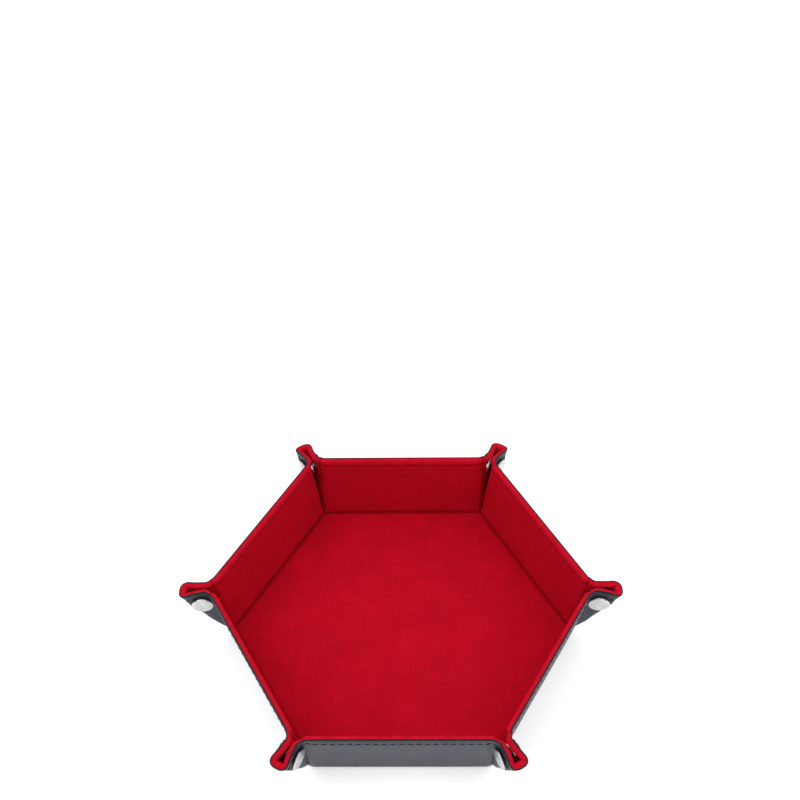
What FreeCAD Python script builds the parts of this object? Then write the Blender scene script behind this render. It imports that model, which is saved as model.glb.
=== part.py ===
# Folding hexagonal dice tray, shown snapped up.
#
# The tray is one padded sheet: leather outside, velvet lining inside, stiff boards between them
# under the floor and in each of the six walls.  The corners have no board, so each one pinches
# into an outward ear of two flaps and a narrow tip, and a press stud holds the two flaps.
#
# Every piece is drawn in the flat pattern and then folded about its crease lines.
# Millimetres, +Z up, floor resting on Z = 0, origin under the middle of the floor.
import FreeCAD, Part
import math
import os

V3 = FreeCAD.Vector
UP = V3(0, 0, 1)

# ---- driving dimensions -------------------------------------------------------------------
CREASE_APOTHEM = 82.5      # middle of the floor to a wall's crease
WALL_DEPTH = 42.0          # crease to rim, measured along the wall
FLAT_ACROSS_CORNERS = 280.0
WALL_ANGLE = 80.0          # wall above the table when snapped up
COVER = 0.9                # leather, outside
BOARD = 1.4                # stiff board
LINING = 0.9               # velvet, inside
SHEET = COVER + BOARD + LINING
HINGE_Z = SHEET / 2        # creases fold about the middle of the sheet
FLAP_HALF = 1.2            # half thickness of the board-free corner laminate
TIP_HALF_ANGLE = 6.72      # half the tip's angle at the base corner
HALF_SECTOR = 30.0         # half the corner's angle at the base corner

FLOOR_GAP = 1.7            # each side of the crease between floor and wall
WALL_GAP = 1.4             # each side of the crease between wall and flap
TIP_GAP = 1.2              # each side of the crease between flap and tip
PINCH_GAP = 0.16           # each flap's clearance from the corner's middle plane
TIP_START = 18.0           # where the tip's laminate starts, from the base corner
HEM = 2.4                  # leather turned up round each wall's board
HEM_FOOT = 0.5             # leather below the board at the crease

THREAD_INSET = 4.6         # rim to stitch line
THREAD_R = 0.3

SNAP_REACH = 33.4          # base corner to press stud
SNAP_ANGLE = 17.35         # press stud from the corner's middle line, at the base corner
SNAP_HOLE_R = 1.75

# ---- derived ------------------------------------------------------------------------------
COS30 = math.cos(math.radians(30))
CORNER_REACH = CREASE_APOTHEM / COS30
HALF_EDGE = CREASE_APOTHEM * math.tan(math.radians(30))
OUTER_APOTHEM = CREASE_APOTHEM + WALL_DEPTH
# The sheet's corner is rounded so that the flat tray measures FLAT_ACROSS_CORNERS.
CORNER_R = (OUTER_APOTHEM / COS30 - FLAT_ACROSS_CORNERS / 2) / (1 / COS30 - 1)
FLAP_ANGLE = HALF_SECTOR - TIP_HALF_ANGLE
HINGE = V3(CORNER_REACH, 0, HINGE_Z)


def polar(angle, reach=1.0):
    a = math.radians(angle)
    return V3(reach * math.cos(a), reach * math.sin(a), 0)


def prism(points, z0, z1):
    pts = [V3(p[0], p[1], z0) for p in points]
    return Part.Face(Part.makePolygon(pts + pts[:1])).extrude(V3(0, 0, z1 - z0))


def about(point, axis, angle):
    return FreeCAD.Placement(V3(0, 0, 0), FreeCAD.Rotation(axis, angle), point)


def placed(shape, placement):
    out = shape.copy()
    out.Placement = placement.multiply(out.Placement)
    return out


def spun(shape, angle):
    return placed(shape, about(V3(0, 0, 0), UP, angle))


# ---- how the corner folds -----------------------------------------------------------------
def fold_angles(wall_angle):
    """Fold of the wall-to-flap crease and of the flap-to-tip crease, in degrees.

    All the creases of a corner meet at one point, so the corner closes like a cone.  The flap's
    far crease has to lie TIP_HALF_ANGLE from the corner's middle plane.
    """
    t = math.radians(wall_angle)
    s = math.radians(FLAP_ANGLE)
    b = math.radians(TIP_HALF_ANGLE)
    want = (math.sin(b) - 0.5 * math.cos(s) * math.cos(t)) / math.sin(s)
    size = math.hypot(COS30, 0.5 * math.sin(t))
    phi = math.atan2(COS30, 0.5 * math.sin(t)) + math.asin(want / size)
    along = V3(-0.5, COS30, 0)
    out = V3(COS30, 0.5, 0)
    up_wall = out * math.cos(t) + UP * math.sin(t)
    normal = out * math.sin(t) - UP * math.cos(t)
    across = along * -math.cos(phi) + normal * math.sin(phi)
    crease = up_wall * math.cos(s) + across * math.sin(s)
    leave = across * math.cos(s) - up_wall * math.sin(s)
    mirror = V3(crease.x, -crease.y, crease.z)
    enter = (mirror - crease * mirror.dot(crease)).normalize()
    nu = math.atan2(leave.cross(enter).dot(crease), leave.dot(enter))
    return math.degrees(phi), math.degrees(nu)


PHI, NU = fold_angles(WALL_ANGLE)


def wall_fold(normal_angle):
    return about(polar(normal_angle, CREASE_APOTHEM) + V3(0, 0, HINGE_Z),
                 polar(normal_angle + 90), -WALL_ANGLE)


# Corner at angle 0: the stud flap hangs on the wall at -30, the socket flap on the wall at +30.
STUD_FLAP = wall_fold(-30).multiply(about(HINGE, polar(-30), -PHI))
SOCKET_FLAP = wall_fold(30).multiply(about(HINGE, polar(30), PHI))
TIP = STUD_FLAP.multiply(about(HINGE, polar(-TIP_HALF_ANGLE), -NU))


# ---- floor and walls ----------------------------------------------------------------------
def hexagon(apothem, z0, z1):
    return prism([polar(60 * i, apothem / COS30) for i in range(6)], z0, z1)


def bar(x0, x1, half_y, z0, z1):
    return Part.makeBox(x1 - x0, 2 * half_y, z1 - z0, V3(x0, -half_y, z0))


def floor_layers():
    edge = CREASE_APOTHEM - FLOOR_GAP
    board = hexagon(edge - HEM_FOOT, COVER, COVER + BOARD)
    cover = hexagon(edge, 0, COVER + BOARD).cut(board)
    lining = hexagon(edge, COVER + BOARD, SHEET)
    return {"board": board, "cover": cover, "lining": lining}


def wall_layers():
    """One wall, flat, with its outward normal along +X."""
    x0, x1 = CREASE_APOTHEM + FLOOR_GAP, OUTER_APOTHEM
    half = HALF_EDGE - WALL_GAP
    board = bar(x0 + HEM_FOOT, x1 - HEM, half - HEM, COVER, COVER + BOARD)
    cover = bar(x0, x1, half, 0, COVER + BOARD).cut(board)
    edges = [e for e in cover.Edges
             if abs(e.CenterOfMass.x - x1) < 1e-6 and abs(e.CenterOfMass.z) < 1e-6]
    cover = cover.makeFillet(0.6, edges)
    lining = bar(x0, x1, half, COVER + BOARD, SHEET)
    edges = [e for e in lining.Edges
             if abs(e.CenterOfMass.x - x1) < 1e-6 and abs(e.CenterOfMass.z - SHEET) < 1e-6]
    lining = lining.makeFillet(0.6, edges)
    line = x1 - THREAD_INSET
    thread = bar(line - THREAD_R, line + THREAD_R, half - 1.0, SHEET, SHEET + THREAD_R)
    return {"board": board, "cover": cover, "lining": lining, "thread": thread}


# ---- corner laminate ----------------------------------------------------------------------
def corner_blank(z0, z1):
    """The whole board-free corner at angle 0, between the two wall creases."""
    right, left = polar(-30), polar(30)
    at = V3(CORNER_REACH, 0, z0)
    mid = V3((WALL_DEPTH - CORNER_R) / COS30, 0, 0)
    a, b = at + right * WALL_DEPTH, at + left * WALL_DEPTH
    t0, t1 = at + mid + right * CORNER_R, at + mid + left * CORNER_R
    tip = at + mid + V3(CORNER_R, 0, 0)
    wire = Part.Wire([Part.makeLine(at, a), Part.makeLine(a, t0), Part.Arc(t0, tip, t1).toShape(),
                      Part.makeLine(t1, b), Part.makeLine(b, at)])
    return Part.Face(wire).extrude(V3(0, 0, z1 - z0))


def beyond(line_angle, side, gap):
    """Half space on one side of a crease through the base corner, moved off it by a gap."""
    box = Part.makeBox(200, 200, 20, V3(-100, gap, -10))
    if side < 0:
        box = Part.makeBox(200, 200, 20, V3(-100, -200 - gap, -10))
    return placed(box, about(V3(0, 0, 0), UP, line_angle)).translated(V3(CORNER_REACH, 0, 0))


def snap_centre(side):
    return HINGE + polar(side * SNAP_ANGLE, SNAP_REACH)


def flap(side):
    """Flat flap between the tip crease and the wall crease, on the +Y or the -Y side."""
    z0, z1 = HINGE_Z - FLAP_HALF, HINGE_Z + FLAP_HALF
    body = corner_blank(z0, z1)
    body = body.common(beyond(side * TIP_HALF_ANGLE, side, TIP_GAP))
    body = body.common(beyond(side * HALF_SECTOR, -side, WALL_GAP))
    hole = Part.makeCylinder(SNAP_HOLE_R, 10, snap_centre(side) - V3(0, 0, 5), UP)
    return body.cut(hole)


def pinched(shape, side):
    """Cut off what would reach past the corner's middle plane when it is folded."""
    y = -100 + PINCH_GAP if side > 0 else -PINCH_GAP
    return shape.cut(Part.makeBox(200, 100, 200, V3(0, y, -50)))


def tip():
    body = corner_blank(HINGE_Z - FLAP_HALF, HINGE_Z)
    for side in (-1, 1):
        body = body.common(beyond(side * TIP_HALF_ANGLE, -side, TIP_GAP))
    return body.common(Part.makeBox(100, 100, 20, V3(CORNER_REACH + TIP_START, -50, -10)))


# ---- press studs --------------------------------------------------------------------------
def turned(profile):
    pts = [V3(r, 0, z) for r, z in profile]
    face = Part.Face(Part.makePolygon(pts + pts[:1]))
    return face.revolve(V3(0, 0, 0), UP, 360)


# Profiles are radius and height from the middle of the laminate, lined side up.
CAP = [(0, -2.2), (4.9, -2.2), (5.6, -2.05), (5.95, -1.7), (6.0, -1.2), (1.5, -1.2), (1.5, 1.2)]


def stud():
    return turned(CAP + [(4.85, 1.2), (4.85, 1.6), (4.65, 1.88), (4.3, 1.95), (3.9, 1.88),
                         (3.4, 1.6), (2.0, 1.6), (1.65, 1.85), (1.55, 3.5), (1.9, 3.9),
                         (1.95, 4.15), (1.8, 4.5), (1.3, 4.7), (0, 4.75)])


def socket():
    shell = turned(CAP + [(5.6, 1.2), (5.65, 2.4), (5.45, 2.95), (5.0, 3.3), (4.3, 3.4),
                          (3.4, 3.25), (2.95, 2.9), (2.95, 1.5), (0, 1.5)])
    for y in (-1.7, 1.7):
        shell = shell.fuse(Part.makeCylinder(0.22, 6.6, V3(-3.3, y, 1.85), V3(1, 0, 0)))
    return shell.removeSplitter()


# ---- export -------------------------------------------------------------------------------
os.makedirs("parts", exist_ok=True)


def save(name, shape):
    if shape.ShapeType == "Compound" and len(shape.Solids) == 1:
        shape = shape.Solids[0]
    shape.exportStep("parts/" + name + ".step")


for name, shape in floor_layers().items():
    save("base_" + name, shape)

folded_wall = {name: placed(shape, wall_fold(0)) for name, shape in wall_layers().items()}
corner = {
    "stud_flap": pinched(placed(flap(-1), STUD_FLAP), -1),
    "socket_flap": pinched(placed(flap(1), SOCKET_FLAP), 1),
    "tip": placed(tip(), TIP),
}
press_stud = {
    "stud": placed(stud().translated(snap_centre(-1)), STUD_FLAP),
    "socket": placed(socket().translated(snap_centre(1)), SOCKET_FLAP),
}

for k in range(1, 7):
    for name, shape in folded_wall.items():
        node = "rim_thread_%d" % k if name == "thread" else "wall_%d_%s" % (k, name)
        save(node, spun(shape, 60 * k - 30))
    for name, shape in corner.items():
        save("corner_%d_%s" % (k, name), spun(shape, 60 * k))
    for name, shape in press_stud.items():
        save("snap_%d_%s" % (k, name), spun(shape, 60 * k))
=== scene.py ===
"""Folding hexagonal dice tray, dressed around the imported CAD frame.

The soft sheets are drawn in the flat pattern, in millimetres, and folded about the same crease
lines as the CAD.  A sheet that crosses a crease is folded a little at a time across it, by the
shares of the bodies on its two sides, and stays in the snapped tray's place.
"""
import math
from collections import namedtuple
from types import SimpleNamespace
import bmesh
import bpy
import numpy as np
from mathutils import Matrix, Vector


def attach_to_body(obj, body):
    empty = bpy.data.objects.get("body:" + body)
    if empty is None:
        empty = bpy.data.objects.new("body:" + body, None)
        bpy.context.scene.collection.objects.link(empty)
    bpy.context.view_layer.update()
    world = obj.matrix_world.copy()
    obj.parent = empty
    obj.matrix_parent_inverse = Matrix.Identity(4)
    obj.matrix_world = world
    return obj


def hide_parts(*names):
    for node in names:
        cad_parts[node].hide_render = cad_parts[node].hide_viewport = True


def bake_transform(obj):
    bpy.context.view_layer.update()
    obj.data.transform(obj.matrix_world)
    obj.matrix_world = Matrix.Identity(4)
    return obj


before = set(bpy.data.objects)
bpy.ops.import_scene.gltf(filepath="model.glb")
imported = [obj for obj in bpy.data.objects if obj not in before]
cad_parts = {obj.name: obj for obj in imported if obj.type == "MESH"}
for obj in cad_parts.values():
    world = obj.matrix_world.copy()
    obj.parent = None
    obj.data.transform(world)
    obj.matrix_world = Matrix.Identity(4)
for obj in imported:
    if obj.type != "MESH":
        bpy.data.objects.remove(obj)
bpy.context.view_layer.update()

MM = 0.001

# ---- the CAD's dimensions, in millimetres --------------------------------------------------
APOTHEM = 82.5                    # middle of the floor to a wall's crease
DEPTH = 42.0                      # crease to rim
ACROSS_CORNERS = 280.0            # flat tray
WALL_ANGLE = 80.0
HINGE_Z = 1.6                     # middle of the sheet
TIP_HALF = 6.72                   # half the tip's angle at the base corner, degrees
SECTOR = 30.0                     # half the corner's angle at the base corner, degrees
SNAP_REACH, SNAP_ANGLE = 33.4, 17.35
COS30, SIN30 = math.cos(math.radians(30)), 0.5
REACH = APOTHEM / COS30           # middle of the floor to a base corner
HALF_EDGE = APOTHEM * math.tan(math.radians(30))
ROUND = ((APOTHEM + DEPTH) / COS30 - ACROSS_CORNERS / 2) / (1 / COS30 - 1)
ROUND_X = (DEPTH - ROUND) / COS30  # base corner to the centre of the rounded corner

# ---- how the sheets are built up, in millimetres and degrees -------------------------------
PANEL = 1.6                       # half thickness over a board
LOOSE = 1.2                       # half thickness where there is no board
FOLD = 3.0                        # half width of the bend along the floor
WALL_BEND = 4.0                   # half width of the bend at a wall's end, degrees
TIP_BEND = 6.5                    # half width of the bend at the tip, degrees
TIP_ROUNDING = 0.8                # how far the tip's bends cut their corners, 1 for a full arc
TIP_PAD, TIP_PAD_WIDTH = 0.8, 9.0   # the velvet is thicker where the tip rolls, over these degrees
NECK_LEAN = 1.7                   # the flaps' rims lean towards each other above the snap
NECK_DEPTH = 9.5                  # how far below the rim they start to lean
SNAP_SEAT = 6.6                   # the sheet stays flat this far round a snap
SNAP_PRESS, SNAP_PRESS_R = 0.16, 6.3   # the snap presses the sheet in, this far round it
RIPPLE = 0.13                     # slack in the flaps
START = 0.05                      # the sheets start this far from a base corner
THINNEST = 0.12                   # least height of a face off the middle

# The socket flap and the next wall meet without blending: each reaches a little under the other.
LINING_TONGUE, COVER_TONGUE = 0.6, 1.4   # reach of a wall's sheets
FLAP_TONGUE = 1.8                 # reach of the socket flap's leather, degrees
UNDER = 0.08                      # how much lower a sheet lies there
TONGUE_FROM, TONGUE_GROWS = 4.0, 6.0     # a wall's start this far up and widen over this much

# The boards stop short of the creases, the rim and the wall's ends.
BOARD_TO_CREASE, BOARD_TO_RIM, BOARD_TO_END = 1.9, 2.2, 3.4
BOARD_EDGE = 1.3                  # width of the step down off a board

# The rim: the velvet rolls over as a lip, the leather's cut edge is rounded off.
STITCH_IN = 4.6                   # rim to stitch line
LINING_EDGE = 0.2                 # rim to the lining's own edge
LIP, NECK_LIP = 0.3, 0.35         # height of the lip, and how much more at the neck
LINING_ROLL, COVER_ROLL = 1.3, 0.45    # width of each rounded edge
LIP_FOOT, COVER_FOOT = 0.26, 1.0  # how far below the middle each rounded edge ends
PARTING = 0.02                    # each sheet's clearance from the middle
LINING_STEP, COVER_STEP = 1.5, 1.55    # nearer the rim than this each hidden face lies lower,
LINING_DROP, COVER_DROP = 0.36, 0.34   # by this much
STITCH_PULL_WIDTH = 0.75          # of the hollow along the stitch line
NO_RIM = 99.0                     # stands for the distance to the rim from the floor

# The creases: widths of the grooves, and widths and strengths of the painted shade along them.
FLOOR_GROOVE, END_GROOVE = 1.25, 1.0
FLOOR_SHADE_WIDTH, EAR_SHADE_WIDTH = 0.9, 0.8
END_SHADE_STRENGTH, TIP_SHADE_STRENGTH = 0.7, 0.4

# What differs between the faces: half thickness beside a board, depth of the crease along the
# floor and at a wall's end, pull of the stitches, and height gained per millimetre from a base
# corner.
Face = namedtuple("Face", "edge floor_crease end_crease stitch_pull pinch")
FACES = {1: Face(1.42, 0.6, 0.4, 0.42, 0.07), -1: Face(1.25, 0.25, 0.2, 0.3, 0.09)}


def smooth(t):
    """From 0 to 1 with a soft start and a soft end."""
    t = np.clip(t, 0, 1)
    return t * t * (3 - 2 * t)


def polar(deg, reach=1.0):
    """The flat vector of this length at this angle."""
    a = math.radians(deg)
    return np.array([reach * math.cos(a), reach * math.sin(a), 0.0])


def turned(points, pivot, axis, degrees):
    """points turned about a line, each by its own angle."""
    axis = np.asarray(axis, float) / np.linalg.norm(axis)
    a = np.radians(np.broadcast_to(degrees, len(points)))[:, None]
    p = points - pivot
    along = (p @ axis)[:, None] * axis
    return pivot + p * np.cos(a) + np.cross(axis, p) * np.sin(a) + along * (1 - np.cos(a))


def spun(points, degrees):
    return turned(np.asarray(points, float), np.zeros(3), (0, 0, 1), degrees)


# ---- the corner's folds --------------------------------------------------------------------
def fold_angles():
    """Folds of the wall-to-flap crease and of the flap-to-tip crease, as the CAD works them out."""
    t, s, b = (math.radians(x) for x in (WALL_ANGLE, SECTOR - TIP_HALF, TIP_HALF))
    want = (math.sin(b) - SIN30 * math.cos(s) * math.cos(t)) / math.sin(s)
    lean = SIN30 * math.sin(t)
    phi = math.atan2(COS30, lean) + math.asin(want / math.hypot(COS30, lean))
    along, out, up = np.array([-SIN30, COS30, 0]), np.array([COS30, SIN30, 0]), np.array([0, 0, 1])
    wall_up = out * math.cos(t) + up * math.sin(t)
    normal = out * math.sin(t) - up * math.cos(t)
    across = -along * math.cos(phi) + normal * math.sin(phi)
    crease = wall_up * math.cos(s) + across * math.sin(s)
    leave = across * math.cos(s) - wall_up * math.sin(s)
    enter = crease * (1, -1, 1)
    enter = enter - crease * (enter @ crease)
    enter /= np.linalg.norm(enter)
    nu = math.atan2(abs(np.cross(leave, enter) @ crease), leave @ enter)
    return math.degrees(phi), math.degrees(nu)


PHI, NU = fold_angles()
HINGE = np.array([REACH, 0, HINGE_Z])


def fold_wall(points, normal, share=1.0):
    """Folds points up about the crease of the wall whose normal is at this angle."""
    pivot = polar(normal, APOTHEM) + (0, 0, HINGE_Z)
    return turned(points, pivot, polar(normal + 90), -WALL_ANGLE * share)


def to_stud_flap(points, share=1.0):
    return fold_wall(turned(points, HINGE, polar(-SECTOR), -PHI * share), -SECTOR)


def to_tip(points, share=1.0):
    return to_stud_flap(turned(points, HINGE, polar(-TIP_HALF), NU * share))


def past_tip(points, share=1.0):
    return to_tip(turned(points, HINGE, polar(TIP_HALF), NU * share))


def to_socket_flap(points, share=1.0):
    return fold_wall(turned(points, HINGE, polar(SECTOR), PHI * share), SECTOR)


def bend_width(along):
    """Half width of the bend at the floor, which narrows to nothing at the base corners."""
    return FOLD * (1 - np.exp(-np.maximum(HALF_EDGE - np.abs(along), START) / 4))


def rounded(x, fold, reach=1.0):
    """A crease rounded nearly to an arc, for points from -1 to 1 across it.

    Gives the share of the fold, and how far the middle of the sheet lies off the flat pattern
    towards the inside of the fold, when the arc meets the flat parts at this reach.
    """
    x = np.clip(x, -1, 1)
    half = math.radians(fold) / 2
    rise = reach * (1 / math.cos(half) - 1) / math.tan(half)
    return smooth((x + 1) / 2), rise * (1 - x * x) ** 2


def across(angle, bend):
    """Place across a crease that runs from the base corner, -1 to 1, for an angle from it."""
    return np.sin(np.radians(np.clip(angle, -90, 90))) / math.sin(math.radians(bend))


def at_corner(p):
    """Distance and angle of points from the base corner, in the corner's own frame."""
    return np.hypot(p[:, 0] - REACH, p[:, 1]), np.degrees(np.arctan2(p[:, 1], p[:, 0] - REACH))


def folded(points, zone, k):
    """Rest places of flat points, the bodies they ride between, and how far along each one is."""
    p = np.asarray(points, float)
    if zone == "base":
        return p, ("base",), None
    if zone == "wall":
        q = spun(p, SECTOR - 60 * k)
        w = bend_width(q[:, 1])
        share = smooth((q[:, 0] - APOTHEM + w) / (2 * w))
        off = np.degrees(np.arctan2(q[:, 1] + HALF_EDGE, q[:, 0] - APOTHEM))
        end = np.where(q[:, 0] > APOTHEM + 1e-6, rounded(across(-off, WALL_BEND), PHI)[0], 0)
        corner = np.array([APOTHEM, -HALF_EDGE, HINGE_Z])
        q = turned(q, corner, (1, 0, 0), PHI * end)
        return spun(fold_wall(q, 0, share), 60 * k - SECTOR), ("base", "wall_%d" % k), share
    q = spun(p, -60 * k)
    angle = at_corner(q)[1]
    if zone == "stud":
        share = rounded(across(angle + SECTOR, WALL_BEND), PHI)[0]
        return spun(to_stud_flap(q, share), 60 * k), ("wall_%d" % k, "stud_flap_%d" % k), share
    if zone == "tip_a":
        share = rounded(across(angle + TIP_HALF, TIP_BEND), NU)[0]
        return spun(to_tip(q, share), 60 * k), ("stud_flap_%d" % k, "tip_%d" % k), share
    if zone == "tip_b":
        share = rounded(across(angle - TIP_HALF, TIP_BEND), NU)[0]
        return spun(past_tip(q, share), 60 * k), ("tip_%d" % k, "socket_flap_%d" % k), share
    share = rounded(across(SECTOR - angle, WALL_BEND), PHI)[0]
    return spun(to_socket_flap(q, share), 60 * k), ("socket_flap_%d" % k,), None


# ---- the flat pattern's relief -------------------------------------------------------------
def bump(x, width):
    """A soft hill of height 1 about 0."""
    return np.exp(-(x / width) ** 2)


def rim_distance(q):
    """How far flat points of a corner lie inside the rim."""
    x, y = q[:, 0] - REACH, np.abs(q[:, 1])
    round_part = ROUND - np.hypot(x - ROUND_X, y)
    straight = DEPTH - (x * COS30 + y * SIN30)
    return np.where(np.degrees(np.arctan2(y, x - ROUND_X)) < 30, round_part, straight)


def panel_relief(p, zone, k, face):
    """What shapes the floor or a wall: its board, its creases and the bend at its end."""
    q = spun(p, SECTOR - 60 * k)
    d = q[:, 0] - APOTHEM
    to_end = HALF_EDGE - np.abs(q[:, 1])
    none = np.zeros(len(p))
    part = SimpleNamespace(rho=np.hypot(d, to_end), off=np.degrees(np.arctan2(to_end, d)),
                           middle=none, snap=none, loose=none, neck=none, pad=none)
    if zone == "base":
        inside, part.rim = -d - BOARD_TO_CREASE, np.full(len(p), NO_RIM)
    else:
        inside = np.minimum(d - BOARD_TO_CREASE, DEPTH - BOARD_TO_RIM - d)
        inside, part.rim = np.minimum(inside, to_end - BOARD_TO_END), DEPTH - d
    part.height = face.edge + (PANEL - face.edge) * smooth(inside / BOARD_EDGE + 0.5)
    part.groove = face.floor_crease * bump(d, FLOOR_GROOVE)
    # Painted shade along the floor crease and at a wall's ends.
    part.crease = np.maximum(bump(d, FLOOR_SHADE_WIDTH), END_SHADE_STRENGTH * bump(to_end, EAR_SHADE_WIDTH) * (d > 0))
    if zone == "wall":
        part.groove = part.groove + face.end_crease * bump(to_end, END_GROOVE) * smooth(d / 3)
        bent = (q[:, 1] < 0) & (d > 0)
        reach = part.rho * math.sin(math.radians(WALL_BEND))
        part.middle = np.where(bent, -rounded(across(part.off, WALL_BEND), PHI, reach)[1], 0)
        part.height = part.height - UNDER * ((q[:, 1] < -HALF_EDGE - 0.01) & (d > 0))
    return part


def corner_relief(p, zone, k, face):
    """What shapes a corner: its creases, its snaps, slack, and how its folds are rounded."""
    q = spun(p, -60 * k)
    rho, angle = at_corner(q)
    off = np.abs(angle) - SECTOR
    rim = rim_distance(q)
    height = LOOSE + (face.edge - LOOSE) * smooth((off + WALL_BEND) / (2 * WALL_BEND))
    if zone == "socket":
        height = height - UNDER * (off > 0.01)
    from_wall = rho * np.sin(np.radians(off))
    from_tip = rho * np.sin(np.radians(np.abs(angle) - TIP_HALF))
    # Painted shade along the ear's wall and tip creases.
    crease = np.maximum(END_SHADE_STRENGTH * bump(from_wall, EAR_SHADE_WIDTH), TIP_SHADE_STRENGTH * bump(from_tip, EAR_SHADE_WIDTH))
    centre = polar(SNAP_ANGLE, SNAP_REACH)
    near = np.hypot(q[:, 0] - REACH - centre[0], np.abs(q[:, 1]) - centre[1])
    ripple = np.sin(rho * 0.55 + k * 1.9 + angle * 0.21) * np.sin(angle * 0.33 + k)
    loose = RIPPLE * ripple * smooth((rho - 6) / 10) * smooth(-off / 8) * smooth((rim - 5) / 3)
    is_lining = face is FACES[1]
    pad = TIP_PAD * is_lining * bump(angle, TIP_PAD_WIDTH) * smooth((rho - 16) / 12)
    neck = smooth((-off - 0.5) / 5) * smooth((np.abs(angle) - 2) / 16)
    neck = neck * smooth((NECK_DEPTH - rim) / 8)
    wall_reach, tip_reach = (rho * math.sin(math.radians(b)) for b in (WALL_BEND, TIP_BEND))
    walls = rounded(across(off, WALL_BEND), PHI, wall_reach)[1]
    tips = rounded(across(np.abs(angle) - TIP_HALF, TIP_BEND), NU, tip_reach)[1]
    seat = 1 - np.exp(-(near / SNAP_SEAT) ** 4)
    return SimpleNamespace(rho=rho, off=off, rim=rim, height=height, crease=crease,
                           groove=face.end_crease * bump(from_wall, END_GROOVE),
                           middle=TIP_ROUNDING * tips * seat - walls + NECK_LEAN * neck,
                           snap=np.exp(-(near / SNAP_PRESS_R) ** 6),
                           loose=loose, neck=neck, pad=pad)


def relief(points, zone, k, side):
    """Heights of the outer and the hidden inner face off the flat pattern, rim distance, painted
    crease shade.

    side is +1 for the lining and -1 for the leather.
    """
    p = np.asarray(points, float)
    face = FACES[side]
    part = (panel_relief if zone in ("base", "wall") else corner_relief)(p, zone, k, face)
    rho, rim = part.rho, part.rim
    # The faces close in towards the base corner, where the flaps pinch together.
    pinch = face.pinch * rho + 0.1
    clear = part.height * (1 - np.exp(-rho / 2.0)) + THINNEST
    height = np.minimum(part.height, pinch + (clear - pinch) * smooth(part.off / 20))
    height = height - part.groove * smooth(rho / 8) - SNAP_PRESS * part.snap + part.loose + part.pad
    height = height - face.stitch_pull * bump(rim - STITCH_IN, STITCH_PULL_WIDTH)
    if side > 0:
        lip = LIP + NECK_LIP * part.neck
        height = height + lip * smooth(rim / 1.5) * smooth((STITCH_IN - rim) / 1.8)
        height = np.maximum(height, THINNEST)
        turn = np.clip((rim - LINING_EDGE) / LINING_ROLL, 0, 1)
        outer = height - (height + LIP_FOOT) * (1 - np.sqrt(1 - (1 - turn) ** 2))
        inner = PARTING - LINING_DROP * smooth((LINING_STEP - rim) / 0.5)
    else:
        height = np.maximum(height, THINNEST)
        turn = np.clip(rim / COVER_ROLL, 0, 1)
        outer = -height + (height - COVER_FOOT) * (1 - np.sqrt(1 - (1 - turn) ** 2))
        inner = -PARTING - COVER_DROP * smooth((COVER_STEP - rim) / 0.5)
    return outer + part.middle, inner + part.middle, rim, part.crease


# ---- meshes --------------------------------------------------------------------------------
def object_from(name, verts, faces, flat, rim, crease, material, sharp=None):
    mesh = bpy.data.meshes.new(name)
    mesh.from_pydata((np.asarray(verts) * MM).tolist(), [], faces)
    mesh.validate()
    for label, kind, values in (("flat", "FLOAT_VECTOR", np.asarray(flat) * MM),
                                ("rim", "FLOAT", np.asarray(rim) * MM),
                                ("crease", "FLOAT", crease)):
        layer = mesh.attributes.new(label, kind, "POINT")
        field = "vector" if kind == "FLOAT_VECTOR" else "value"
        layer.data.foreach_set(field, np.asarray(values, np.float32).ravel())
    mesh.shade_smooth()
    if sharp:
        marked = {tuple(sorted(e)) for e in sharp}
        layer = mesh.attributes.new("sharp_edge", "BOOLEAN", "EDGE")
        layer.data.foreach_set("value", [tuple(sorted(e.vertices)) in marked for e in mesh.edges])
    mesh.materials.append(material)
    obj = bpy.data.objects.new(name, mesh)
    bpy.context.scene.collection.objects.link(obj)
    return obj


def face_out(mesh):
    bm = bmesh.new()
    bm.from_mesh(mesh)
    bmesh.ops.recalc_face_normals(bm, faces=bm.faces)
    bm.to_mesh(mesh)
    bm.free()


def attach(obj, bodies, share):
    """Rides on one body, or, for a sheet that crosses a crease, stays fixed in its folded place."""
    if share is None:
        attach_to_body(obj, bodies[0])
        return
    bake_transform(obj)


def grid_relief(flat, zone, k, side):
    """The relief of a grid, which on the floor goes by the sector that each point lies in."""
    if zone != "base":
        return relief(flat, zone, k, side)
    angle = np.degrees(np.arctan2(flat[:, 1], flat[:, 0]))
    sector = np.round((angle - SECTOR) / 60).astype(int) + 1
    layers = np.zeros((4, len(flat)))
    for j in np.unique(sector):
        pick = sector == j
        layers[:, pick] = relief(flat[pick], zone, j, side)
    return layers


def sheet_faces(rows, cols, side, closed):
    """Faces of a closed sheet over a grid, with its outer layer first, and its sharp edges."""
    half = rows * cols

    def at(i, j):
        return i * cols + j % cols

    faces, sharp = [], []
    for i in range(rows - 1):
        for j in range(cols if closed else cols - 1):
            quad = [at(i, j), at(i, j + 1), at(i + 1, j + 1), at(i + 1, j)]
            faces += [quad[::side], [v + half for v in quad][::-side]]
    if closed:
        loop = [(rows - 1, j) for j in range(cols)]
        middle = [at(0, j) for j in range(cols)]
        faces += [middle[::side], [v + half for v in middle][::-side]]
    else:
        loop = [(0, j) for j in range(cols)] + [(i, cols - 1) for i in range(1, rows)]
        loop += [(rows - 1, j) for j in range(cols - 2, -1, -1)]
        loop += [(i, 0) for i in range(rows - 2, 0, -1)]
    for (i0, j0), (i1, j1) in zip(loop, loop[1:] + loop[:1]):
        a, b = at(i0, j0), at(i1, j1)
        faces.append([a, b, b + half, a + half])
        sharp += [(a, b), (a + half, b + half)]
    return faces, sharp


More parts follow.
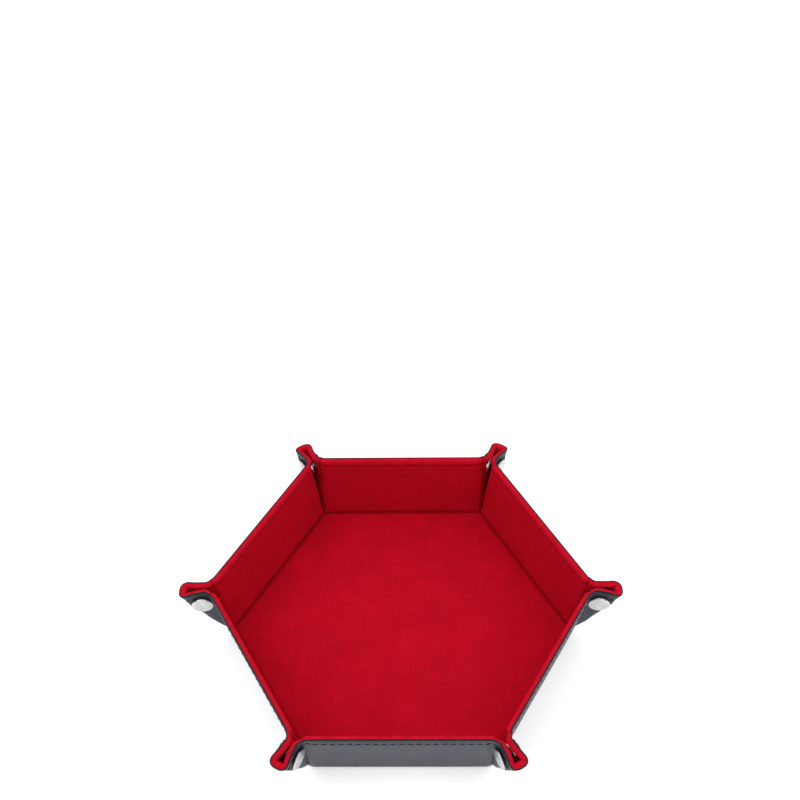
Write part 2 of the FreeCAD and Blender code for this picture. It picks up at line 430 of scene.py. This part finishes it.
def slab(name, grid, zone, k, side, material, closed=False):
    """A thin closed sheet over a grid of flat points, folded into place, and its flat area.

    grid is rows by columns by 2.  closed joins the last column to the first and the first row
    into the middle.
    """
    rows, cols = grid.shape[:2]
    flat = np.column_stack([grid.reshape(-1, 2), np.full(rows * cols, HINGE_Z)])
    outer, inner, rim, crease = grid_relief(flat, zone, k, side)
    top, bottom = flat.copy(), flat.copy()
    top[:, 2] += outer
    bottom[:, 2] += inner
    faces, sharp = sheet_faces(rows, cols, side, closed)
    rest, bodies, share = folded(np.vstack([top, bottom]), zone, k)
    obj = object_from(name, rest, faces, np.vstack([flat, flat]), np.tile(rim, 2),
                      np.tile(crease, 2), material, sharp)
    face_out(obj.data)
    attach(obj, bodies, share)
    return obj, grid_area(grid, closed)


def grid_area(grid, closed):
    g = np.concatenate([grid, grid[:, :1]], axis=1) if closed else grid
    a, b, c, d = g[:-1, :-1], g[:-1, 1:], g[1:, 1:], g[1:, :-1]
    e, f = c - a, d - b
    return float(np.abs(e[..., 0] * f[..., 1] - e[..., 1] * f[..., 0]).sum() / 2)


# Rows of the grids below the rim, in millimetres, close together at the lip and the stitches.
RIM_STEPS = [0, 0.1, 0.2, 0.28, 0.4, 0.6, 0.8, 1.0, 1.2, 1.45, 1.7, 2.1, 2.7, 3.3, 3.8, 4.25, 4.6,
             4.95, 5.4, 6.1, 7.0, 8.2, 9.4]
STEP_GROWTH = 1.18                # from one step of a grid to the next
EDGE_STEPS = 0.3, 2.2             # finest and coarsest along a floor crease, in millimetres
WALL_STEPS = 0.02, 0.035          # and up a wall, as shares of the way
CORNER_STEPS = 0.012, 0.035       # and out from a base corner


def rim_steps(side):
    return [e for e in RIM_STEPS if e >= (LINING_EDGE if side > 0 else 0)]


def spread(lo, hi, fine, coarse):
    """Steps from lo to hi that grow from fine to coarse."""
    out, step = [lo], fine
    while out[-1] + step < hi - step / 2:
        out.append(out[-1] + step)
        step = min(coarse, step * STEP_GROWTH)
    return out + [hi]


def edge_samples():
    """Places along a floor crease, closer together near its ends."""
    half = spread(0, HALF_EDGE - START, *EDGE_STEPS)
    left = [-HALF_EDGE + START + x for x in half if x < (HALF_EDGE - START) * 0.97]
    return np.array(left + [0.0] + [-x for x in left[::-1]])


def wall_grid(side, k):
    """Rows from the floor's side of the bend up to the rim, columns along the wall."""
    along = edge_samples()
    width = bend_width(along)
    steps = rim_steps(side)
    last = DEPTH - steps[-1]
    rows = [i / 5 * width for i in range(-5, 6)]
    rows += [width + (last - width) * t for t in spread(0, 1, *WALL_STEPS)[1:]]
    rows += [np.full(len(along), DEPTH - e) for e in steps[-2::-1]]
    out = polar(60 * k - SECTOR)[:2]
    way = np.array([-out[1], out[0]])
    slope = math.tan(math.radians(WALL_BEND))
    reach = LINING_TONGUE if side > 0 else COVER_TONGUE
    across_wall = (along / (HALF_EDGE - START) + 1) / 2
    grid = []
    for d in rows:
        # The socket flap takes over at its crease, the stud flap's bend starts inside the wall.
        up = np.maximum(d, 0)
        low = np.maximum(START - up, 0)
        high = np.maximum(START - up, up * slope)
        y = (low - HALF_EDGE) * (1 - across_wall) + (HALF_EDGE - high) * across_wall
        tongue = START + (reach - START) * smooth((d[:1] - TONGUE_FROM) / TONGUE_GROWS)
        d, y = np.concatenate([d[:1], d]), np.concatenate([y[:1] - tongue, y])
        grid.append((APOTHEM + d)[:, None] * out + y[:, None] * way)
    return np.array(grid)


def corner_grid(angles, side, k):
    """Polar grid about the base corner, from START out to the rim."""
    a = np.radians(np.asarray(angles, float))
    y0 = ROUND_X * np.sin(a)
    arc = ROUND_X * np.cos(a) + np.sqrt(np.maximum(ROUND ** 2 - y0 ** 2, 0))
    off_wall = np.cos(np.radians(SECTOR) - np.abs(a))
    on_arc = np.degrees(np.arctan2(np.abs(arc * np.sin(a)), arc * np.cos(a) - ROUND_X)) < 30
    outline = np.where(on_arc, arc, DEPTH / off_wall)
    tilt = np.where(on_arc, (arc - ROUND_X * np.cos(a)) / ROUND, off_wall)
    steps = rim_steps(side)
    last = outline - steps[-1] / tilt
    rows = [START + (last - START) * t for t in spread(0, 1, *CORNER_STEPS)]
    rows += [outline - e / tilt for e in steps[-2::-1]]
    rho = np.array(rows)
    x, y = REACH + rho * np.cos(a), rho * np.sin(a)
    c, s = math.cos(math.radians(60 * k)), math.sin(math.radians(60 * k))
    return np.stack([x * c - y * s, x * s + y * c], axis=-1)


def base_grid():
    """Rings from the middle of the floor out to where the bends start."""
    along = edge_samples()
    width = bend_width(along)
    ring = []
    for k in range(1, 7):
        out = polar(60 * k - SECTOR)[:2]
        way = np.array([-out[1], out[0]])
        ring.append((APOTHEM - width)[:, None] * out + along[:, None] * way)
    ring = np.concatenate(ring)
    scale = [0.02, 0.08, 0.16, 0.25, 0.34, 0.43, 0.52, 0.6, 0.67, 0.74, 0.8, 0.85, 0.89, 0.92, 0.94,
             0.955, 0.967, 0.977, 0.985, 0.992, 1.0]
    return np.array([ring * t for t in scale])


# ---- stitches ------------------------------------------------------------------------------
STITCHES = 32                     # from one socket crease to the next
STITCH_LENGTH, STITCH_R = 3.0, 0.3
STITCH_RISE, STITCH_SINK = 0.2, 0.28   # its middle above the sheet, its ends below it
STITCH_RINGS, STITCH_SIDES = 9, 8
STRAIGHT = HALF_EDGE + ROUND_X / 2    # middle of a wall to where the line turns
TURN_R, TURN = ROUND - STITCH_IN, math.radians(60)
UNIT = 2 * STRAIGHT + TURN_R * TURN


def stitch_line(length, k):
    """Flat places along the stitch line and the way across it, from wall k's socket crease on."""
    s = np.asarray(length, float) - HALF_EDGE
    normal = np.clip((s - STRAIGHT) / TURN_R, 0, TURN)
    after = np.maximum(s - STRAIGHT - TURN_R * TURN, 0)
    x = APOTHEM + ROUND_X * COS30 + TURN_R * np.cos(normal) - after * np.sin(normal)
    y = np.minimum(s, STRAIGHT) + TURN_R * np.sin(normal) + after * np.cos(normal)
    flat = spun(np.column_stack([x, y, np.full(len(s), HINGE_Z)]), 60 * k - SECTOR)
    way = spun(np.column_stack([np.cos(normal), np.sin(normal), np.zeros(len(s))]), 60 * k - SECTOR)
    return flat, way


def stitch_zone(length, k):
    flat, _ = stitch_line([length], k)
    angle = at_corner(spun(flat, -60 * k))[1][0]
    for zone, low in (("socket", TIP_HALF + TIP_BEND), ("tip_b", 0),
                      ("tip_a", -TIP_HALF - TIP_BEND), ("stud", -SECTOR - WALL_BEND)):
        if angle > low:
            return zone
    return "wall"


def stitches(name, lengths, zone, k, side, material):
    """A run of stitches, each a short rounded bar whose ends sink into the sheet."""
    rings, around = STITCH_RINGS, STITCH_SIDES
    verts, flats, faces = [], [], []
    for middle in lengths:
        t = np.linspace(-1, 1, rings)
        flat, way = stitch_line(middle + t * STITCH_LENGTH / 2, k)
        surface = relief(flat, zone, k, side)[0]
        lift = side * (STITCH_RISE * (1 - t ** 4) - STITCH_SINK * t ** 4)
        radius = STITCH_R * np.sqrt(1 - 0.75 * t ** 6)
        first = len(verts)
        for i in range(rings):
            for j in range(around):
                a = 2 * math.pi * j / around
                at = flat[i] + way[i] * radius[i] * math.cos(a)
                at[2] += surface[i] + lift[i] + radius[i] * math.sin(a)
                verts.append(at)
                flats.append(flat[i])
        for i in range(rings - 1):
            for j in range(around):
                a, b = first + i * around + j, first + i * around + (j + 1) % around
                faces.append([a, b, b + around, a + around])
        faces.append([first + j for j in range(around)])
        faces.append([first + (rings - 1) * around + j for j in range(around)])
    rest, bodies, share = folded(np.array(verts), zone, k)
    none = np.zeros(len(verts))
    obj = object_from(name, rest, faces, np.array(flats), none, none, material)
    face_out(obj.data)
    if zone == "wall":
        bodies, share = ("wall_%d" % k,), None
    attach(obj, bodies, share)
    return obj


# ---- materials -----------------------------------------------------------------------------
def srgb(r, g, b):
    def lin(c):
        c /= 255
        return c / 12.92 if c <= 0.04045 else ((c + 0.055) / 1.055) ** 2.4
    return (lin(r), lin(g), lin(b), 1.0)


class Nodes:
    """Short hand for a material's nodes."""

    def __init__(self, name):
        self.material = bpy.data.materials.new(name)
        self.material.use_nodes = True
        self.tree = self.material.node_tree
        self.shader = self.tree.nodes["Principled BSDF"]

    def add(self, kind, **settings):
        node = self.tree.nodes.new(kind)
        for key, value in settings.items():
            if hasattr(node, key):
                setattr(node, key, value)
            else:
                node.inputs[key].default_value = value
        return node

    def join(self, a, b):
        self.tree.links.new(a, b)

    def set(self, **values):
        for key, value in values.items():
            self.shader.inputs[key.replace("_", " ")].default_value = value

    def place(self):
        return self.add("ShaderNodeAttribute", attribute_name="flat").outputs["Vector"]

    def noise(self, where, scale, detail=3.0, roughness=0.55):
        node = self.add("ShaderNodeTexNoise", Scale=scale, Detail=detail, Roughness=roughness)
        self.join(where, node.inputs["Vector"])
        return node.outputs["Fac"]

    def ramp(self, value, stops):
        node = self.add("ShaderNodeValToRGB")
        while len(node.color_ramp.elements) < len(stops):
            node.color_ramp.elements.new(0.5)
        for element, (at, colour) in zip(node.color_ramp.elements, stops):
            element.position, element.color = at, colour
        self.join(value, node.inputs["Fac"])
        return node.outputs["Color"]

    def math(self, operation, a, b):
        node = self.add("ShaderNodeMath", operation=operation)
        for socket, value in zip(node.inputs, (a, b)):
            if isinstance(value, (int, float)):
                socket.default_value = value
            else:
                self.join(value, socket)
        return node.outputs[0]

    def mix(self, factor, a, b, blend="MIX"):
        node = self.add("ShaderNodeMix", data_type="RGBA", blend_type=blend)
        for name, value in ((0, factor), (6, a), (7, b)):
            if isinstance(value, (int, float, tuple)):
                node.inputs[name].default_value = value
            else:
                self.join(value, node.inputs[name])
        return node.outputs[2]

    def bump(self, height, distance, strength=1.0, after=None):
        node = self.add("ShaderNodeBump", Strength=strength, Distance=distance)
        self.join(height, node.inputs["Height"])
        if after is not None:
            self.join(after, node.inputs["Normal"])
        return node.outputs["Normal"]


def velvet():
    m = Nodes("crimson_velvet")
    where = m.place()
    patches = m.noise(where, 38, 4, 0.6)
    nap = m.noise(where, 260, 3, 0.6)
    pile = m.noise(where, 2600, 2, 0.7)
    colour = m.ramp(patches, [(0.30, srgb(158, 3, 21)), (0.52, srgb(170, 4, 24)),
                              (0.72, srgb(181, 6, 29))])
    colour = m.mix(0.3, colour, m.ramp(nap, [(0.35, srgb(150, 3, 19)), (0.65, srgb(188, 8, 32))]))
    colour = m.mix(0.2, colour, m.ramp(pile, [(0.3, srgb(123, 1, 14)), (0.7, srgb(202, 14, 43))]))
    # The rolled edge is painted a little brighter than the rest: painted sheen where the lip
    # catches the light.
    edge = m.add("ShaderNodeAttribute", attribute_name="rim").outputs["Fac"]
    lip = m.ramp(m.math("MULTIPLY", edge, 100), [(0.30, (1, 1, 1, 1)), (0.46, (0, 0, 0, 1))])
    # Painted sheen: the brighter velvet colour is mixed in within about 3 mm of the rim.
    colour = m.mix(lip, colour, m.ramp(nap, [(0.3, srgb(166, 5, 27)), (0.7, srgb(184, 10, 36))]))
    # Painted shade: the velvet's colour is darkened along the creases.
    crease_shade = m.add("ShaderNodeAttribute", attribute_name="crease").outputs["Fac"]
    crease_shade = m.ramp(crease_shade, [(0.05, (1, 1, 1, 1)), (0.9, (0.62, 0.55, 0.55, 1))])
    colour = m.mix(1.0, colour, crease_shade, "MULTIPLY")
    m.join(colour, m.shader.inputs["Base Color"])
    rough = m.ramp(nap, [(0.3, (0.82,) * 3 + (1,)), (0.7, (0.95,) * 3 + (1,))])
    m.join(rough, m.shader.inputs["Roughness"])
    m.set(Sheen_Weight=0.08, Sheen_Roughness=0.5, Sheen_Tint=srgb(230, 40, 60),
          Specular_IOR_Level=0.05)
    fine = m.bump(pile, 0.0003, 0.6)
    m.join(m.bump(nap, 0.0006, 0.35, fine), m.shader.inputs["Normal"])
    return m.material


def leather():
    m = Nodes("dark_leather")
    where = m.place()
    cells = m.add("ShaderNodeTexVoronoi", feature="DISTANCE_TO_EDGE", Scale=900)
    warp = m.add("ShaderNodeTexNoise", Scale=300, Detail=2)
    m.join(where, warp.inputs["Vector"])
    shift = m.add("ShaderNodeVectorMath", operation="MULTIPLY_ADD")
    m.join(warp.outputs["Color"], shift.inputs[0])
    shift.inputs[1].default_value = (0.0012,) * 3
    m.join(where, shift.inputs[2])
    m.join(shift.outputs[0], cells.inputs["Vector"])
    pebble = m.ramp(cells.outputs["Distance"], [(0.0, (0, 0, 0, 1)), (0.22, (1, 1, 1, 1))])
    broad = m.noise(where, 45, 4, 0.6)
    fine = m.noise(where, 1800, 3, 0.6)
    colour = m.ramp(broad, [(0.3, srgb(50, 52, 61)), (0.7, srgb(62, 64, 74))])
    colour = m.mix(0.3, colour, m.ramp(pebble, [(0.0, srgb(28, 29, 34)), (1.0, srgb(70, 72, 83))]))
    # The cut edge is dyed near black.
    edge = m.add("ShaderNodeAttribute", attribute_name="rim").outputs["Fac"]
    dye = m.ramp(m.math("MULTIPLY", edge, 100), [(0.07, (1, 1, 1, 1)), (0.13, (0, 0, 0, 1))])
    colour = m.mix(dye, colour, m.ramp(fine, [(0.3, srgb(8, 8, 10)), (0.7, srgb(18, 18, 21))]))
    m.join(colour, m.shader.inputs["Base Color"])
    rough = m.ramp(broad, [(0.3, (0.40,) * 3 + (1,)), (0.7, (0.52,) * 3 + (1,))])
    m.join(rough, m.shader.inputs["Roughness"])
    m.set(Specular_IOR_Level=0.22)
    grain = m.bump(pebble, 0.00012, 0.55)
    m.join(m.bump(fine, 0.00008, 0.4, grain), m.shader.inputs["Normal"])
    return m.material


def thread(name, low, high):
    m = Nodes(name)
    where = m.add("ShaderNodeTexCoord").outputs["Object"]
    twist = m.noise(where, 1500, 2)
    m.join(m.ramp(twist, [(0.3, low), (0.7, high)]), m.shader.inputs["Base Color"])
    m.set(Roughness=0.75, Specular_IOR_Level=0.1)
    m.join(m.bump(twist, 0.0002, 0.5), m.shader.inputs["Normal"])
    return m.material


def nickel(name, centre, axis, shade):
    """Plated steel with painted shade in the hollows of a snap whose middle and axis are given, and
    where it meets the sheets.
    """
    m = Nodes(name)
    where = m.add("ShaderNodeTexCoord").outputs["Object"]
    offset = m.add("ShaderNodeVectorMath", operation="SUBTRACT")
    m.join(where, offset.inputs[0])
    offset.inputs[1].default_value = tuple(float(x) * MM for x in centre)
    along = m.add("ShaderNodeVectorMath", operation="DOT_PRODUCT")
    m.join(offset.outputs[0], along.inputs[0])
    along.inputs[1].default_value = tuple(float(x) for x in axis)
    height = m.math("ADD", m.math("MULTIPLY", along.outputs["Value"], 100), 0.5)
    wear = m.noise(where, 220, 4, 0.65)
    metal = m.ramp(wear, [(0.3, srgb(180, 180, 179)), (0.7, srgb(205, 204, 202))])
    # 0.5 is the middle of the sheet and 0.1 is a millimetre, towards the lining.
    low, white = (shade,) * 3 + (1,), (1, 1, 1, 1)
    # Painted shade: the metal is darkened from a millimetre below the sheet's middle to where the
    # rings stand clear, in the holes and along where the snap meets the sheets.
    painted_hollow_shade = m.ramp(height, [(0.355, white), (0.375, (0.4, 0.4, 0.4, 1)), (0.40, low),
                             (0.658, low), (0.668, white)])
    m.join(m.mix(1.0, metal, painted_hollow_shade, "MULTIPLY"), m.shader.inputs["Base Color"])
    m.join(m.ramp(wear, [(0.3, (0.20,) * 3 + (1,)), (0.75, (0.30,) * 3 + (1,))]),
           m.shader.inputs["Roughness"])
    m.set(Metallic=1.0)
    m.join(m.bump(m.noise(where, 900, 2), 0.00002, 0.15), m.shader.inputs["Normal"])
    return m.material


def fibreboard():
    m = Nodes("fibreboard")
    where = m.add("ShaderNodeTexCoord").outputs["Object"]
    fibre = m.noise(where, 700, 4, 0.7)
    m.join(m.ramp(fibre, [(0.3, srgb(120, 106, 88)), (0.7, srgb(152, 138, 116))]),
           m.shader.inputs["Base Color"])
    m.set(Roughness=0.9)
    m.join(m.bump(fibre, 0.0002, 0.4), m.shader.inputs["Normal"])
    return m.material


VELVET, LEATHER, BOARD = velvet(), leather(), fibreboard()
RED_THREAD = thread("red_thread", srgb(108, 3, 15), srgb(146, 9, 26))
DARK_THREAD = thread("dark_thread", srgb(16, 16, 18), srgb(46, 46, 50))


# ---- camera --------------------------------------------------------------------------------
def aim():
    """Camera at the reference view's place and angle."""
    place = np.array([12.2, -395.0, 613.5])
    yaw, down, roll = -1.43, 47.01, -1.37
    y, p, r = (math.radians(x) for x in (yaw, down, roll))
    look = np.array([math.sin(y) * math.cos(p), math.cos(y) * math.cos(p), -math.sin(p)])
    right = np.array([math.cos(y), -math.sin(y), 0])
    up = np.cross(right, look)
    right2 = math.cos(r) * right + math.sin(r) * up
    up2 = -math.sin(r) * right + math.cos(r) * up
    data = bpy.data.cameras.new("camera")
    data.lens, data.sensor_width = 57.48, 36
    data.clip_start, data.clip_end = 0.01, 20
    camera = bpy.data.objects.new("camera", data)
    matrix = Matrix.Identity(4)
    for i in range(3):
        matrix[i][0], matrix[i][1], matrix[i][2] = right2[i], up2[i], -look[i]
        matrix[i][3] = place[i] * MM
    camera.matrix_world = matrix
    bpy.context.scene.collection.objects.link(camera)
    bpy.context.scene.camera = camera


aim()

# ---- the sheets ----------------------------------------------------------------------------
STUD_ANGLES = list(np.linspace(-SECTOR - WALL_BEND, -SECTOR + WALL_BEND, 13)) + \
    list(np.linspace(-SECTOR + WALL_BEND, -TIP_HALF - TIP_BEND, 12))[1:]
TIP_ANGLES = list(np.linspace(-TIP_HALF - TIP_BEND, 0, 18))
SOCKET_ANGLES = [-a for a in STUD_ANGLES[::-1] if a > -SECTOR - 1e-6]

# Each zone of a corner: its grid's angles, its piece, the flat size of its sheet and its CAD node.
Zone = namedtuple("Zone", "angles piece flat node")
ZONES = {
    "stud": Zone(STUD_ANGLES, "flap_a", (0.017, 0.045), "stud_flap"),
    "tip_a": Zone(TIP_ANGLES, "tip_a", (0.0101, 0.045), "tip"),
    "tip_b": Zone([-a for a in TIP_ANGLES[::-1]], "tip_b", (0.0101, 0.045), "tip"),
    "socket": Zone(SOCKET_ANGLES, "flap_b", (0.014, 0.045), "socket_flap"),
}


def declare(node):
    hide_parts(node)


def make_sheets(side, label, material):
    """The floor, the walls and the corners of the lining or of the leather."""
    obj, area = slab("floor_" + label, base_grid(), "base", 1, side, material, closed=True)
    declare("base_" + label)
    for k in range(1, 7):
        obj, area = slab("wall_%d_%s_sheet" % (k, label), wall_grid(side, k), "wall", k, side,
                         material)
        declare("wall_%d_%s" % (k, label))
        for name, zone in ZONES.items():
            angles = zone.angles
            if name == "socket" and side < 0:
                angles = angles + [SECTOR + FLAP_TONGUE]
            obj, area = slab("corner_%d_%s_%s" % (k, zone.piece, label),
                             corner_grid(angles, side, k), name, k, side, material)
            declare("corner_%d_%s" % (k, zone.node))


def make_stitches(k):
    """The stitches from wall k's socket crease to the next, in red inside and dark outside."""
    runs = {}
    for i in range(STITCHES):
        length = UNIT * (i + 0.5) / STITCHES
        runs.setdefault(stitch_zone(length, k), []).append(length)
    for zone, lengths in runs.items():
        for side, colour, material in ((1, "red", RED_THREAD), (-1, "dark", DARK_THREAD)):
            place = "wall_%d" % k if zone == "wall" else "corner_%d_%s" % (k, ZONES[zone].piece)
            obj = stitches("%s_%s_stitches" % (place, colour), lengths, zone, k, side, material)
            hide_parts("rim_thread_%d" % k)


def dress(name, material):
    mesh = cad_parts[name].data
    mesh.materials.clear()
    mesh.materials.append(material)


# How bright the painted shade in the snaps' hollows is.
STUD_SHADE, SOCKET_SHADE = 0.35, 0.07   # how bright the hollows are


def dress_snap(piece, side, fold, shade, k):
    flat = HINGE + polar(side * SNAP_ANGLE, SNAP_REACH)
    middle, above = spun(fold(np.array([flat, flat + (0, 0, 1)])), 60 * k)
    name = "snap_%d_%s" % (k, piece)
    dress(name, nickel(name + "_nickel", middle, above - middle, shade))


make_sheets(1, "lining", VELVET)
make_sheets(-1, "cover", LEATHER)
dress("base_board", BOARD)
for k in range(1, 7):
    make_stitches(k)
for k in range(1, 7):
    dress("wall_%d_board" % k, BOARD)
    dress_snap("stud", -1, to_stud_flap, STUD_SHADE, k)
    dress_snap("socket", 1, to_socket_flap, SOCKET_SHADE, k)

# ---- floor and light -----------------------------------------------------------------------
# Each light's name, place and size in metres, and power in watts.
LIGHTS = (("key", (-0.75, -0.1, 1.05), 0.9, 5),
          ("fill", (0.85, -0.35, 0.95), 1.0, 4),
          ("back", (0.1, 1.1, 1.0), 0.9, 2))
LOOK_AT = Vector((0, 0, 0.02))
GROUND_SIZE, GROUND_Z = 6, -0.0003    # just under the tray


def make_ground():
    bpy.ops.mesh.primitive_plane_add(size=GROUND_SIZE, location=(0, 0, GROUND_Z))
    ground = bpy.context.object
    ground.name = "ground"
    m = Nodes("pale_ground")
    where = m.add("ShaderNodeTexCoord").outputs["Object"]
    m.join(m.ramp(m.noise(where, 3), [(0.3, (0.90, 0.90, 0.90, 1)), (0.7, (0.92, 0.92, 0.92, 1))]),
           m.shader.inputs["Base Color"])
    m.set(Roughness=0.9, Specular_IOR_Level=0.1, Emission_Color=(1, 1, 1, 1),
          Emission_Strength=0.3)
    ground.data.materials.append(m.material)


def make_lights():
    for name, place, size, power in LIGHTS:
        data = bpy.data.lights.new(name, "AREA")
        data.size, data.energy = size, power
        lamp = bpy.data.objects.new(name, data)
        lamp.location = place
        lamp.rotation_euler = (LOOK_AT - Vector(place)).to_track_quat("-Z", "Y").to_euler()
        bpy.context.scene.collection.objects.link(lamp)
    world = bpy.data.worlds.new("studio")
    world.use_nodes = True
    background = world.node_tree.nodes["Background"]
    background.inputs["Color"].default_value = (1, 1, 1, 1)
    background.inputs["Strength"].default_value = 1.0
    bpy.context.scene.world = world
    bpy.context.scene.view_settings.view_transform = "Standard"


make_ground()
make_lights()
